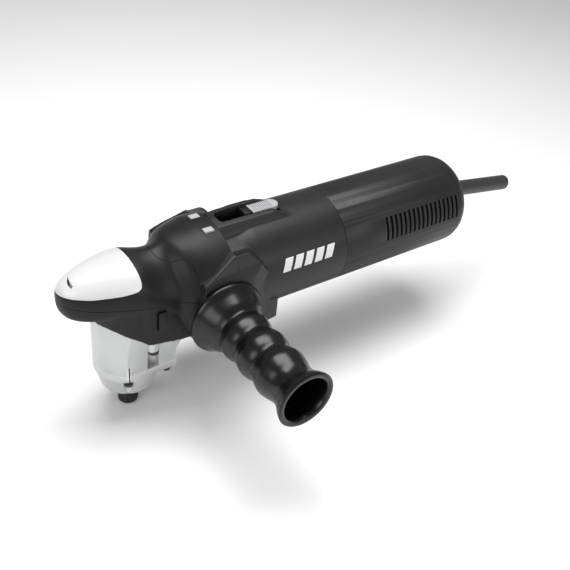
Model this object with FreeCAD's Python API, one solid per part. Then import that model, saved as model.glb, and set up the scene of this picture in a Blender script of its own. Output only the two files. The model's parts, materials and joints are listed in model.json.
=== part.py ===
"""Rotary polisher: barrel motor housing, right-angle gear head, slide switch and screw-in side handle.

Frame: origin at the spindle's pad-seating shoulder, +Z up along the spindle, +X back along the motor
axis to the cord end, side handle on the -Y side. Millimetres.
"""
import FreeCAD, Part
import math
import os

os.makedirs("parts", exist_ok=True)
V = FreeCAD.Vector
X, Y, Z = V(1, 0, 0), V(0, 1, 0), V(0, 0, 1)

# Driving dimensions
AXIS_Z = 75.6            # motor axis above the spindle shoulder
BODY_R = 35.1            # outside radius of the barrel
SHELL = 2.6              # wall of the moulded housings
SEAM_X = 155.4           # joint between front housing and motor housing
REAR_X = 282.0           # back face of the motor housing
COLLAR_X0, COLLAR_X1 = 36.0, 62.0
COLLAR_R = 40.0
HEAD_TOP_R = 31.8        # roof of the nose, round about the motor axis
NOSE_TIP = -45.5
BAND_Z0, BAND_Z1, CAP_Z = 74.0, 84.0, 94.0
THREAD_R, THREAD_L = 7.0, 16.0          # M14 spindle thread
BOSS_Z = 5.0             # underside of the bearing cover
SPLIT_Z = 26.0           # joint between bearing cover and gear housing
HEAD_R, HEAD_SIDE = 23.0, 21.0
SKIRT_R = 27.4
HANDLE_X, HANDLE_Z = 52.2, 66.1
HANDLE_Y0, HANDLE_Y1 = -39.0, -128.2    # flange face and outer end
STUD_R, STUD_L = 5.0, 15.0              # M10 stud of the side handle
BEVEL_M, CROWN_T, PINION_T = 1.04, 34, 9
SPUR_M, SPUR_T, ARM_T = 0.8, 32, 9
LAY_Z = AXIS_Z - SPUR_M * (SPUR_T + ARM_T) / 2
LOCK_X, LOCK_Z, LOCK_R = 12.5, 73.0, 16.0
UPPER_BEARING_Z = 62.0
RUN = 0.05               # radial running clearance
PAD_X0, PAD_X1, PAD_W, PAD_TOP = 92.5, 114.8, 9.7, 115.2
VENTS, VENT_X0, VENT_X1, VENT_W = 17, 193.6, 266.9, 2.1
VENT_LOW, VENT_HIGH = 4.7, 34.5         # degrees above the motor axis level
SLEEVE_R, SLEEVE_BORE = 6.25, 4.1
SLEEVE_BASE = V(REAR_X - 8.0, 0, AXIS_Z + 5.2)
SLEEVE_TIP = V(363.0, 0, 67.0)
MARK_Y = (-8.9, 8.9)                    # the two position marks on the collar
COVER_SCREWS = [(-8.6, 19.0), (20.6, 16.8)]     # x and offset to each side, bearing cover screws
SIDE_SCREW = (8.7, 21.6)                # x and offset to each side, gear housing screws
BRACKET_X0, BRACKET_X1 = 45.6, 57.4     # aluminium bracket that holds motor bearing and handle
BRACKET_R = 30.6
BOLTS = [(20.0, AXIS_Z + 19.0), (-20.0, AXIS_Z + 19.0), (17.0, AXIS_Z - 21.5), (-17.0, AXIS_Z - 21.5)]
BOLT_HOLE_R, COVER_HOLE_R = 1.95, 2.05
CORE_X0, CORE_X1, CORE_R = 90.0, 136.0, 16.8    # armature and field stacks
SLOTS, BARS = 12, 24                    # armature slots, commutator bars
COMM_X0, COMM_X1, COMM_R = 153.0, 169.0, 10.5
BRUSH_X, BRUSH_W, BRUSH_H = 161.0, 6.8, 7.8
FAN_X0, FAN_R, BLADES = 62.0, 27.0, 12
POCKET = (66.0, 115.6, 5.25, AXIS_Z + 34.4)     # switch pocket: x from, x to, half width, floor
CONSOLE_TOP, CONSOLE_W, CONSOLE_X1 = AXIS_Z + 40.6, 9.0, 120.0
DIAL_Z, DIAL_R = AXIS_Z - 17.0, 9.0
GRIP_WAVE, GRIP_MID, GRIP_SWELL = 18.7, 16.6, 1.1       # finger waves: pitch, mean radius, height
GRIP_PEAK = -82.0                       # centre of the middle wave
NOTCHES, NOTCH_ANGLE, NOTCH_R = 4, 48.0, 13.2   # lock disc: wide gaps that the pin drops into


# Helpers
def cyl(r, length, base, axis=Z):
    return Part.makeCylinder(r, length, V(*base), axis)


def box(x0, x1, y0, y1, z0, z1):
    return Part.makeBox(x1 - x0, y1 - y0, z1 - z0, V(x0, y0, z0))


def fuse(*shapes):
    out = shapes[0]
    for shape in shapes[1:]:
        out = out.fuse(shape)
    return out.removeSplitter()


def cut(shape, *tools):
    for tool in tools:
        shape = shape.cut(tool)
    return shape


def group(shapes):
    return Part.makeCompound(shapes)


def face(points):
    return Part.Face(Part.makePolygon([V(*p) for p in points] + [V(*points[0])]))


def about_motor(profile, z=AXIS_Z):
    """Solid of revolution about a line along X; profile is a list of (x, radius)."""
    flat = face([(x, 0, z + r) for x, r in profile])
    return flat.revolve(V(0, 0, z), X, 360)


def about_spindle(profile):
    """Solid of revolution about the spindle axis; profile is a list of (radius, z)."""
    return face([(r, 0, z) for r, z in profile]).revolve(V(0, 0, 0), Z, 360)


def ring_x(ro, ri, x0, x1, z=AXIS_Z):
    return about_motor([(x0, ri), (x0, ro), (x1, ro), (x1, ri)], z)


def mirror_y(shape):
    return shape.mirror(V(0, 0, 0), Y)


def save(name, shape):
    shape.exportStep("parts/" + name + ".step")


# Head outline
def nose_plan(inset, z0, z1):
    """Prism of the nose seen from above: a rounded wedge that widens to the collar."""
    half = [(-45.5, 0.0), (-41.5, 9.0), (-34.7, 14.6), (-25.3, 19.2), (-12.0, 23.6), (0.0, 26.4),
            (12.0, 27.4)]
    near = [V(x + inset, -max(y - inset, 0), 0) for x, y in half]
    far = [V(x + inset, max(y - inset, 0), 0) for x, y in reversed(half[1:])]
    curve = Part.BSplineCurve()
    curve.interpolate(list(reversed(near)) + list(reversed(far)))
    side = half[-1][1] - inset
    start = V(half[-1][0] + inset, -side, 0)
    end = V(half[-1][0] + inset, side, 0)
    edges = [
        curve.toShape(),
        Part.makeLine(end, V(COLLAR_X0, side, 0)),
        Part.makeLine(V(COLLAR_X0, side, 0), V(COLLAR_X0, -side, 0)),
        Part.makeLine(V(COLLAR_X0, -side, 0), start),
    ]
    plan = Part.Face(Part.Wire(Part.__sortEdges__(edges)))
    plan.translate(V(0, 0, z0))
    return plan.extrude(V(0, 0, z1 - z0))


def side_profile(inset):
    """Prism of the head seen from the side: domed front, level roof, rise into the collar."""
    a = V(NOSE_TIP + inset, -60, 60)
    b = V(NOSE_TIP + inset, -60, 95 - inset)
    mid = V(-33.0 + 0.7 * inset, -60, 104.5 - inset)
    c = V(-14.0, -60, 109.5 - inset)
    d = V(COLLAR_X0, -60, 120)
    e = V(COLLAR_X0, -60, 60)
    edges = [
        Part.makeLine(a, b),
        Part.Arc(b, mid, c).toShape(),
        Part.makeLine(c, d),
        Part.makeLine(d, e),
        Part.makeLine(e, a),
    ]
    return Part.Face(Part.Wire(edges)).extrude(V(0, 120, 0))


def nose_block(inset, z0, z1):
    block = nose_plan(inset, z0, z1).common(side_profile(inset))
    roof = cyl(HEAD_TOP_R - inset, 100, (-50, 0, AXIS_Z), X)
    wide = box(-60, 60, -60, 60, 60, AXIS_Z + 10.0)
    return block.common(fuse(roof, wide))


def skirt_block(r, z0, z1):
    """The part of the shroud that hangs down round the gear housing."""
    return fuse(cyl(r, z1 - z0, (0, 0, z0)), box(0, COLLAR_X0, -r, r, z0, z1))


# Shroud, cap, collar
def head_void():
    """Space inside the shrouds: nose hollow, gear housing clearance and the barrel's bore."""
    hollow = nose_block(SHELL, BAND_Z0 + SHELL, 112)
    gear = skirt_block(SKIRT_R - SHELL - 0.6, 30, CAP_Z - 1)
    return fuse(hollow, gear)


def upper_shroud():
    shell = cut(nose_block(0, BAND_Z1, 112), head_void())
    return cut(shell, box(-60, 3.0, -60, 60, CAP_Z, 120), lock_window())


def lower_shroud():
    band = nose_block(0, BAND_Z0, BAND_Z1 - 0.05)
    skirt = skirt_block(SKIRT_R, 43.5, BAND_Z1 - 0.05)
    rise = face([(-30, -40, 40), (4, -40, 40), (4, -40, 45), (-23, -40, BAND_Z0), (-30, -40, BAND_Z0)])
    skirt = cut(skirt, rise.extrude(V(0, 80, 0)))
    return cut(fuse(band, skirt), head_void(), lock_window())


def head_cap():
    front = nose_block(0, CAP_Z + 0.05, 112).common(box(-60, 2.9, -60, 60, CAP_Z, 120))
    return cut(front, head_void())


def lock_window():
    return box(LOCK_X - 3.2, LOCK_X + 3.2, -40, -20, LOCK_Z - 11.3, LOCK_Z + 3.1)


def collar_cover():
    """Cover over the gear case with the two flat handle bosses."""
    outer = about_motor([(COLLAR_X0, 30), (COLLAR_X0, 36), (44, 39.3), (50, COLLAR_R),
                         (COLLAR_X1, COLLAR_R), (COLLAR_X1, 30)])
    boss = cyl(24.0, 77.4, (HANDLE_X, -38.7, HANDLE_Z), Y)
    boss = boss.common(box(COLLAR_X0, 77.5, -50, 50, 41.5, 100))
    solid = fuse(outer, boss)
    solid = cut(solid, cyl(32.4, 60, (30, 0, AXIS_Z), X), cyl(BODY_R + 0.05, 30, (COLLAR_X1, 0, AXIS_Z), X))
    solid = solid.common(box(0, 100, -38.6, 38.6, 20, 130))
    return cut(solid, cyl(9.1, 90, (HANDLE_X, -45, HANDLE_Z), Y), marks())


def marks():
    """Two small grey position marks let into the collar."""
    out = []
    for y in MARK_Y:
        out.append(box(51.5, 58.2, y - 2.4, y + 2.4, AXIS_Z + 37.4, AXIS_Z + 39.6))
    return group(out)


# Gear housing, bearing cover, screws
def head_plan(z0, z1, back):
    """Casting outline: round nose, flat sides."""
    round_nose = cyl(HEAD_R, z1 - z0, (0, 0, z0)).common(box(-30, 30, -HEAD_SIDE, HEAD_SIDE, z0, z1))
    return fuse(round_nose, box(0, back, -HEAD_SIDE, HEAD_SIDE, z0, z1))


def gear_housing():
    low = head_plan(SPLIT_Z + 0.05, 42, 26.0)
    wedge = face([(26, -HEAD_SIDE, 35), (31, -HEAD_SIDE, 45), (31, -HEAD_SIDE, 60), (26, -HEAD_SIDE, 60)])
    mid = fuse(head_plan(42, 69.0, 26.0), wedge.extrude(V(0, 2 * HEAD_SIDE, 0)))
    top = cyl(20.0, 10.0, (0, 0, 69.0))
    drum = cyl(24.0, BRACKET_X0 - 25.1, (25.0, 0, 68.5), X)
    flange = cyl(BRACKET_R, 5.0, (BRACKET_X0 - 5.1, 0, AXIS_Z), X)
    body = fuse(low, mid, top, drum, flange)
    body = cut(body, cyl(18.6, 32.5, (0, 0, SPLIT_Z)), cyl(9.0, 4.1, (0, 0, 58)), cyl(4.4, 14, (0, 0, 60)))
    body = cut(body, cyl(11.02, 7.1, (0, 0, UPPER_BEARING_Z)), cyl(17.2, 7.0, (0, 0, LOCK_Z - 3.0)))
    body = cut(body, cyl(6.6, 10.8, (12.2, 0, LAY_Z), X), cyl(8.02, 5.6, (22.0, 0, LAY_Z), X))
    body = cut(body, cyl(4.4, 9, (22, 0, LAY_Z), X))
    body = cut(body, cyl(14.6, 22.0, (29.0, 0, LAY_Z), X), cyl(6.0, 22, (29.0, 0, AXIS_Z), X))
    body = cut(body, cyl(2.5, 22.5, (LOCK_X, -30, LOCK_Z), Y))
    for side in (-1, 1):
        body = cut(body, cyl(4.2, 17.5, (SIDE_SCREW[0], side * SIDE_SCREW[1], SPLIT_Z - 1)))
        body = cut(body, cyl(COVER_HOLE_R, 30, (SIDE_SCREW[0], side * SIDE_SCREW[1], 35)))
        for x, y in COVER_SCREWS:
            body = cut(body, cyl(COVER_HOLE_R, 8, (x, side * y, SPLIT_Z - 1)))
    for y, z in BOLTS:
        body = cut(body, cyl(BOLT_HOLE_R, 8.0, (BRACKET_X0 - 5.2, y, z), X))
    return body


def bearing_cover():
    dish = about_spindle([(0, BOSS_Z), (16.5, BOSS_Z), (18.6, 6.2), (20.2, 12), (21.6, 17), (HEAD_R, 22.5),
                          (HEAD_R, SPLIT_Z), (0, SPLIT_Z)])
    dish = dish.common(box(-30, 30, -HEAD_SIDE, HEAD_SIDE, 0, 30))
    plate = fuse(head_plan(20.5, SPLIT_Z, 26.0), dish)
    plate = cut(plate, cyl(17.52, 11.0, (0, 0, 7.5)), cyl(14.0, 12, (0, 0, 16)), cyl(9.2, 10, (0, 0, 0)))
    for side in (-1, 1):
        for x, y in COVER_SCREWS:
            plate = cut(plate, cyl(COVER_HOLE_R, 12, (x, side * y, 15)), cyl(3.4, 15.5, (x, side * y, 4.0)))
    return plate


def screw(r_head, h_head, r_shank, l_shank):
    """Socket-head screw pointing up, underside of its head at the origin."""
    head = cut(cyl(r_head, h_head, (0, 0, -h_head)), cyl(r_head * 0.45, h_head * 0.6, (0, 0, -h_head)))
    return fuse(head, cyl(r_shank, l_shank, (0, 0, 0)))


def cover_screws():
    out = []
    for side in (-1, 1):
        for x, y in COVER_SCREWS:
            one = screw(3.2, 2.6, 2.0, 10)
            one.translate(V(x, side * y, 19.5))
            out.append(one)
    return group(out)


def side_screws():
    out = []
    for side in (-1, 1):
        one = screw(3.6, 2.6, 2.0, 16)
        one.translate(V(SIDE_SCREW[0], side * SIDE_SCREW[1], 42.5))
        out.append(one)
    return group(out)


# Bearings
def ball_bearings(name, ro, ri, width, bases, axis, balls):
    """Outer rings with shields, inner rings, and the balls between; a base is the centre of one face."""
    mid = (ro + ri) / 2
    ball = (ro - ri) * 0.22
    outer = cut(cyl(ro, width, (0, 0, 0)), cyl(mid + ball * 0.62, width, (0, 0, 0)))
    inner = cut(cyl(mid - ball * 0.62, width, (0, 0, 0)), cyl(ri, width, (0, 0, 0)))
    race = Part.makeTorus(mid, ball + 0.06, V(0, 0, width / 2), Z)
    outer, inner = outer.cut(race), inner.cut(race)
    beads = []
    for i in range(balls):
        angle = 2 * math.pi * i / balls
        beads.append(Part.makeSphere(ball, V(mid * math.cos(angle), mid * math.sin(angle), width / 2)))
    for kind, shape in (("outer_ring", outer), ("inner_ring", inner), ("balls", group(beads))):
        copies = []
        for base in bases:
            one = shape.copy()
            one.Placement = FreeCAD.Placement(V(*base), FreeCAD.Rotation(Z, axis))
            copies.append(one)
        save(name + "_" + kind, group(copies))


# Gears
def tooth_outline(half_root, half_pitch, half_tip, depth, height, radius):
    """Tooth section in the plane across the pitch line: (across, outward) pairs."""
    return [(-half_root, radius - depth), (half_root, radius - depth), (half_pitch, radius),
            (half_tip, radius + height), (-half_tip, radius + height), (-half_pitch, radius)]


def spur_gear(teeth, module, width, bore, hub, share, x0, z, turn):
    """Straight gear along X, its teeth a share of the pitch wide."""
    radius = teeth * module / 2
    half = share * math.pi * module / 2
    outline = tooth_outline(half * 1.35, half, half * 0.45, 1.1 * module, 0.75 * module, radius)
    base = cyl(radius - 1.0 * module, width, (0, 0, 0), X)
    flat = face([(0, a, b) for a, b in outline])
    tooth = flat.extrude(V(width, 0, 0))
    solids = []
    for i in range(teeth):
        one = tooth.copy()
        one.rotate(V(0, 0, 0), X, 360.0 * i / teeth + turn)
        solids.append(one)
    gear = base.multiFuse(solids + [cyl(hub, width + 2.0, (0, 0, 0), X)])
    gear = cut(gear, cyl(bore, width + 6, (-2, 0, 0), X))
    gear.translate(V(x0, 0, z))
    return gear


def bevel_teeth(teeth, mate, module, face_width, share, turn):
    """Teeth of a bevel gear about +Z, cone apex at the origin, large end at negative z."""
    radius, rise = teeth * module / 2, mate * module / 2
    cone = math.hypot(radius, rise)
    slope = math.atan2(radius, rise)
    half = share * math.pi * module / 2
    outline = tooth_outline(half * 1.35, half, half * 0.5, 1.1 * module, 0.7 * module, 0)
    wires = []
    for scale in (1.0, 1.0 - face_width / cone):
        points = []
        for across, out in outline:
            r = radius + out * math.cos(slope)
            h = -rise + out * math.sin(slope)
            points.append(V(r * scale, across * scale, h * scale))
        wires.append(Part.makePolygon(points + [points[0]]))
    tooth = Part.makeLoft(wires, True, True)
    out = []
    for i in range(teeth):
        one = tooth.copy()
        one.rotate(V(0, 0, 0), Z, 360.0 * i / teeth + turn)
        out.append(one)
    return out


def crown_wheel():
    face_width = 5.0
    radius, rise = CROWN_T * BEVEL_M / 2, PINION_T * BEVEL_M / 2
    inner = 1 - face_width / math.hypot(radius, rise)
    root = 0.95 * BEVEL_M
    body = about_spindle([(7.5, -14.5), (radius * 0.72, -14.5), (radius - 0.3, -rise - 3.2),
                          (radius, -rise - root), (radius * inner, -rise * inner - root),
                          (9.6, -5.2), (7.5, -5.2)])
    gear = body.multiFuse(bevel_teeth(CROWN_T, PINION_T, BEVEL_M, face_width, 0.40, 0))
    gear = cut(gear, cyl(7.5, 40, (0, 0, -20)))
    gear.translate(V(0, 0, LAY_Z))
    return gear


def bevel_pinion():
    """Pinion on the layshaft, its large end towards the motor."""
    face_width = 4.6
    radius, back = PINION_T * BEVEL_M / 2, CROWN_T * BEVEL_M / 2
    inner = 1 - face_width / math.hypot(radius, back)
    root = 0.95 * BEVEL_M
    cone = about_spindle([(0, -back - 2.6), (radius - root, -back - 2.6), (radius - root, -back),
                          ((radius - root) * inner, -back * inner), (0, -back * inner)])
    gear = cone.multiFuse(bevel_teeth(PINION_T, CROWN_T, BEVEL_M, face_width, 0.40, 0))
    gear.rotate(V(0, 0, 0), Y, -90)
    gear.translate(V(0, 0, LAY_Z))
    return gear


# Spindle
def spindle():
    return about_spindle([(0, -THREAD_L), (THREAD_R - 1.4, -THREAD_L), (THREAD_R, -THREAD_L + 1.4),
                          (THREAD_R, 0), (8.8, 0), (8.8, 7.5), (7.5, 7.5), (7.5, 54.3), (5.0, 54.3),
                          (5.0, UPPER_BEARING_Z - 0.1), (4.0, UPPER_BEARING_Z - 0.1), (4.0, LOCK_Z + 2.5),
                          (0, LOCK_Z + 2.5)])


def lock_disc():
    """Castellated disc on the spindle; the lock pin drops into one of its gaps."""
    disc = cut(cyl(LOCK_R, 4.0, (0, 0, LOCK_Z - 2.0)), cyl(4.0, 10, (0, 0, LOCK_Z - 5)))
    low, high = LOCK_Z - 3.0, LOCK_Z + 3.0
    gap = face([(NOTCH_R, 0, low), (LOCK_R + 1, 0, low), (LOCK_R + 1, 0, high), (NOTCH_R, 0, high)])
    gap = gap.revolve(V(0, 0, 0), Z, NOTCH_ANGLE)
    pin_angle = math.degrees(math.atan2(-10.4, LOCK_X))
    for turn in range(NOTCHES):
        one = gap.copy()
        one.rotate(V(0, 0, 0), Z, pin_angle - NOTCH_ANGLE / 2 + 360.0 * turn / NOTCHES)
        disc = disc.cut(one)
    return disc


def lock_button():
    cap = box(LOCK_X - 2.8, LOCK_X + 2.8, -27.9, -25.4, LOCK_Z - 10.9, LOCK_Z + 2.7)
    return cut(cap, cyl(1.9, 3.0, (LOCK_X, -26.9, LOCK_Z), Y))


def lock_pin():
    return cyl(1.9, 14.0, (LOCK_X, -26.9, LOCK_Z), Y)


def lock_spring():
    """Return spring of the lock button, as a plain sleeve of its outside size."""
    length = 3.9
    sleeve = cyl(2.9, length, (LOCK_X, -25.1, LOCK_Z), Y)
    return cut(sleeve, cyl(2.3, length, (LOCK_X, -25.1, LOCK_Z), Y))


# Layshaft and motor
def layshaft():
    return about_motor([(20.3, 0), (20.3, 4.0), (49.4, 4.0), (49.4, 0)], LAY_Z)


def layshaft_gear():
    return spur_gear(SPUR_T, SPUR_M, 6.5, 4.0, 7.0, 0.40, 34.5, LAY_Z, 0.0)


def armature_shaft():
    return about_motor([(43.3, 0), (43.3, 4.0), (182.5, 4.0), (182.5, 0)])


def armature_pinion():
    return spur_gear(ARM_T, SPUR_M, 7.5, 0.8, 2.9, 0.40, 33.8, AXIS_Z, 0.0)


def bearing_bracket():
    plate = cyl(BRACKET_R, BRACKET_X1 - BRACKET_X0, (BRACKET_X0, 0, AXIS_Z), X)
    bosses = cyl(9.0, 77.0, (HANDLE_X, -38.5, HANDLE_Z), Y)
    bosses = cut(bosses, box(0, 100, -30.0, 30.0, 0, 130))
    plate = fuse(plate, bosses)
    plate = cut(plate, cyl(11.02, 7.2, (BRACKET_X1 - 7.1, 0, AXIS_Z), X), cyl(6.0, 20, (40, 0, AXIS_Z), X))
    plate = cut(plate, cyl(8.02, 4.2, (BRACKET_X0 - 0.1, 0, LAY_Z), X))
    for side in (-1, 1):
        plate = cut(plate, cyl(STUD_R + RUN, 20.0, (HANDLE_X, side * 23.0, HANDLE_Z), Y * side))
    for y, z in BOLTS:
        plate = cut(plate, cyl(BOLT_HOLE_R, 20, (40, y, z), X))
    return plate


def bracket_bolts():
    out = []
    for y, z in BOLTS:
        head = cyl(3.4, 3.0, (BRACKET_X1 + 0.05, y, z), X)
        out.append(fuse(cyl(1.9, 16.0, (BRACKET_X1 - 15.9, y, z), X), head))
    return group(out)


def cooling_fan():
    hub = ring_x(8.0, 4.0, FAN_X0, FAN_X0 + 10.0)
    back = ring_x(FAN_R, 8.0, FAN_X0, FAN_X0 + 1.4)
    blades = []
    for i in range(BLADES):
        blade = box(FAN_X0 + 1.4, FAN_X0 + 9.0, -0.7, 0.7, 7.5, FAN_R)
        blade.rotate(V(FAN_X0 + 1, 0, 17), Z, 14)
        blade.rotate(V(0, 0, 0), X, 360.0 * i / BLADES)
        blade.translate(V(0, 0, AXIS_Z))
        blades.append(blade)
    fan = hub.multiFuse([back] + blades)
    return fan.common(ring_x(FAN_R, 4.0, FAN_X0 - 1, FAN_X0 + 11.0))


def fan_baffle():
    return cut(cyl(32.3, 1.6, (74.0, 0, AXIS_Z), X), cyl(20.0, 4, (73, 0, AXIS_Z), X))


def armature_core():
    core = ring_x(CORE_R, 4.0, CORE_X0, CORE_X1)
    for i in range(SLOTS):
        slot = box(CORE_X0 - 1, CORE_X1 + 1, -1.0, 1.0, CORE_R - 3.0, CORE_R + 1.2)
        slot.rotate(V(0, 0, 0), X, 360.0 * i / SLOTS)
        slot.translate(V(0, 0, AXIS_Z))
        core = core.cut(slot)
    return core


def armature_windings():
    front = about_motor([(80.5, 5.5), (80.5, 12.0), (83, 14.8), (89.9, 14.8), (89.9, 5.5)])
    rear = about_motor([(136.1, 5.5), (136.1, 14.8), (143, 14.8), (146, 12.0), (146, 5.5)])
    return group([front, rear])


def commutator():
    drum = ring_x(COMM_R, 4.0, COMM_X0, COMM_X1)
    for i in range(BARS):
        slit = box(COMM_X0 + 1, COMM_X1 + 1, -0.2, 0.2, COMM_R - 0.9, COMM_R + 0.5)
        slit.rotate(V(0, 0, 0), X, 360.0 * i / BARS)
        slit.translate(V(0, 0, AXIS_Z))
        drum = drum.cut(slit)
    return drum


def field_core():
    stack = cyl(31.8, CORE_X1 - CORE_X0, (CORE_X0, 0, AXIS_Z), X)
    stack = stack.common(box(80, 150, -40, 40, AXIS_Z - 28.4, AXIS_Z + 28.4))
    stack = cut(stack, cyl(CORE_R + 0.7, 60, (85, 0, AXIS_Z), X))
    for side in (-1, 1):
        a, b = sorted((side * 12.0, side * 25.0))
        stack = stack.cut(box(85, 145, a, b, AXIS_Z - 17, AXIS_Z + 17))
    return stack


def field_coils():
    out = []
    for side in (-1, 1):
        a, b = sorted((side * 18.6, side * 24.6))
        outer = box(82.0, 144.0, a, b, AXIS_Z - 16.4, AXIS_Z + 16.4)
        out.append(cut(outer, box(89.6, 136.4, a - 1, b + 1, AXIS_Z - 7, AXIS_Z + 7)))
    return group(out)


def brush_holders():
    out = []
    for side in (-1, 1):
        a, b = sorted((side * 12.0, side * 30.0))
        sleeve = box(BRUSH_X - 5, BRUSH_X + 5, a, b, AXIS_Z - 5.5, AXIS_Z + 5.5)
        out.append(cut(sleeve, box(BRUSH_X - 3.5, BRUSH_X + 3.5, a - 1, b + 1, AXIS_Z - 4, AXIS_Z + 4)))
    return group(out)


def carbon_brushes():
    out = []
    for side in (-1, 1):
        a, b = sorted((side * 10.6, side * 22.0))
        brush = box(BRUSH_X - BRUSH_W / 2, BRUSH_X + BRUSH_W / 2, a, b,
                    AXIS_Z - BRUSH_H / 2, AXIS_Z + BRUSH_H / 2)
        out.append(cut(brush, cyl(10.85, 20, (150, 0, AXIS_Z), X)))
    return group(out)


def brush_springs():
    out = []
    for side in (-1, 1):
        base = (BRUSH_X, side * 22.2, AXIS_Z)
        out.append(cut(cyl(2.6, 7.2, base, Y * side), cyl(1.8, 8, base, Y * side)))
    return group(out)


def brush_carrier():
    """Spider that holds the rear bearing and the brush holders."""
    plate = ring_x(32.3, 11.02, 172.0, 180.5)
    for i in range(4):
        window = cyl(6.5, 12, (171, 0, 21.5), X)
        window.rotate(V(0, 0, 0), X, 45 + 90 * i)
        window.translate(V(0, 0, AXIS_Z))
        plate = plate.cut(window)
    arms = []
    for side in (-1, 1):
        a, b = sorted((side * 13.0, side * 29.0))
        arms.append(box(166.1, 172.5, a, b, AXIS_Z - 5.5, AXIS_Z + 5.5))
    plate = fuse(plate, *arms)
    return plate.cut(box(160, 190, -4.2, 4.2, AXIS_Z + 28.6, AXIS_Z + 34))


# Housings
def front_housing():
    tube = ring_x(BODY_R, BODY_R - SHELL, COLLAR_X1 + 0.05, SEAM_X - 0.1)
    x0, x1, half, floor = POCKET
    console = box(COLLAR_X1 + 0.1, CONSOLE_X1, -CONSOLE_W, CONSOLE_W, 104, CONSOLE_TOP)
    slope = face([(112.0, -20, CONSOLE_TOP), (125, -20, CONSOLE_TOP - 6), (125, -20, CONSOLE_TOP + 10),
                  (112.0, -20, CONSOLE_TOP + 10)])
    body = fuse(tube, cut(console, slope.extrude(V(0, 40, 0))))
    bore = cyl(BODY_R - SHELL, 200, (50, 0, AXIS_Z), X)
    body = cut(body, bore.common(box(50, 250, -40, 40, 30, AXIS_Z + 32.5)))
    body = cut(body, box(x0, x1, -half, half, floor, AXIS_Z + 50))
    body = cut(body, box(82.0, 107.0, -3.0, 3.0, AXIS_Z + 25, floor + 1))
    return cut(body, cyl(40.1, 12, (50.1, 0, AXIS_Z), X))


def vent_cutters():
    """Slots cut through the wall on one side, each a slice of a ring between two angles."""
    step = (VENT_X1 - VENT_X0 - VENT_W) / (VENTS - 1)
    a, b = math.radians(VENT_LOW), math.radians(VENT_HIGH)
    r0, r1 = BODY_R - 6, BODY_R + 4
    wedge = [(0, -r0 * math.cos(a), r0 * math.sin(a)), (0, -r1 * math.cos(a), r1 * math.sin(a)),
             (0, -r1 * math.cos(b), r1 * math.sin(b)), (0, -r0 * math.cos(b), r0 * math.sin(b))]
    out = []
    for i in range(VENTS):
        slot = face(wedge).extrude(V(VENT_W, 0, 0))
        slot.translate(V(VENT_X0 + i * step, 0, AXIS_Z))
        out.append(slot)
        out.append(mirror_y(slot))
    return out


def rear_motor_housing():
    corner = 13.0
    outer = [(SEAM_X + 0.1, 0), (SEAM_X + 0.1, BODY_R - 0.5), (SEAM_X + 0.8, BODY_R)]
    inner = []
    for i in range(7):
        angle = math.radians(90 - 15 * i)
        reach = math.cos(angle)
        rise = math.sin(angle)
        outer.append((REAR_X - corner + corner * reach, BODY_R - corner + corner * rise))
        inner.append((REAR_X - corner + (corner - SHELL) * reach,
                      BODY_R - corner + (corner - SHELL) * rise))
    shell = about_motor(outer + [(REAR_X, 0)])
    hollow = about_motor([(SEAM_X - 5, 0), (SEAM_X - 5, BODY_R - SHELL)] + inner + [(REAR_X - SHELL, 0)])
    shell = cut(shell, hollow, sleeve_axis_cyl(SLEEVE_R + 0.05, -20, 20), *vent_cutters())
    return cut(shell, cyl(DIAL_R + 0.6, 20, (REAR_X - 10, 0, DIAL_Z), X))


# Switch
def slider_carrier():
    floor = POCKET[3]
    plate = box(86.0, 113.4, -4.6, 4.6, floor + 0.3, floor + 2.2)
    block = box(86.0, PAD_X0 - 0.05, -4.6, 4.6, floor + 0.3, PAD_TOP + 0.4)
    foot = box(91.0, 98.0, -2.4, 2.4, AXIS_Z + 29.4, floor + 0.3)
    return fuse(plate, block, foot)


def slider_pad():
    """Ribbed thumb pad with a round back end."""
    half = PAD_W / 2
    z0 = POCKET[3] + 2.2
    pad = fuse(box(PAD_X0, PAD_X1 - half, -half, half, z0, PAD_TOP),
               cyl(half, PAD_TOP - z0, (PAD_X1 - half, 0, z0)))
    for i in range(9):
        x = PAD_X0 + 2.2 + 1.7 * i
        pad = pad.cut(box(x, x + 0.7, -half, half, PAD_TOP - 0.6, PAD_TOP + 1))
    return pad


def switch_rod():
    return box(98.0, 196.0, -2.4, 2.4, AXIS_Z + 29.4, AXIS_Z + 31.6)


def switch_block():
    body = box(199.0, 232.0, -9.0, 9.0, AXIS_Z + 10.0, AXIS_Z + 28.0)
    return fuse(body, box(205.0, 226.0, -6.0, 6.0, AXIS_Z + 28.0, AXIS_Z + 30.4))


def speed_module():
    board = box(194.0, 258.0, -17.0, 17.0, AXIS_Z - 20.0, AXIS_Z - 18.2)
    chips = []
    for i in range(4):
        x = 200.0 + 14.0 * i
        chips.append(box(x, x + 9.0, -10.0, 8.0, AXIS_Z - 18.2, AXIS_Z - 11.0 + i))
    return fuse(board, *chips)


def speed_dial():
    """Thumb dial with a grooved rim, turned from the back face."""
    shaft = cyl(2.5, 12.0, (REAR_X - 15.0, 0, DIAL_Z), X)
    dial = fuse(cyl(DIAL_R, 6.0, (REAR_X - 3.6, 0, DIAL_Z), X), shaft)
    for i in range(18):
        groove = cyl(0.6, 4, (REAR_X + 0.5, 0, DIAL_R), X)
        groove.rotate(V(0, 0, 0), X, 20 * i)
        groove.translate(V(0, 0, DIAL_Z))
        dial = dial.cut(groove)
    return dial


def dial_potentiometer():
    return cut(box(REAR_X - 21.0, REAR_X - 6.0, -8.0, 8.0, DIAL_Z - 8, DIAL_Z + 8),
               cyl(2.55, 30, (REAR_X - 16.0, 0, DIAL_Z), X))


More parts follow.
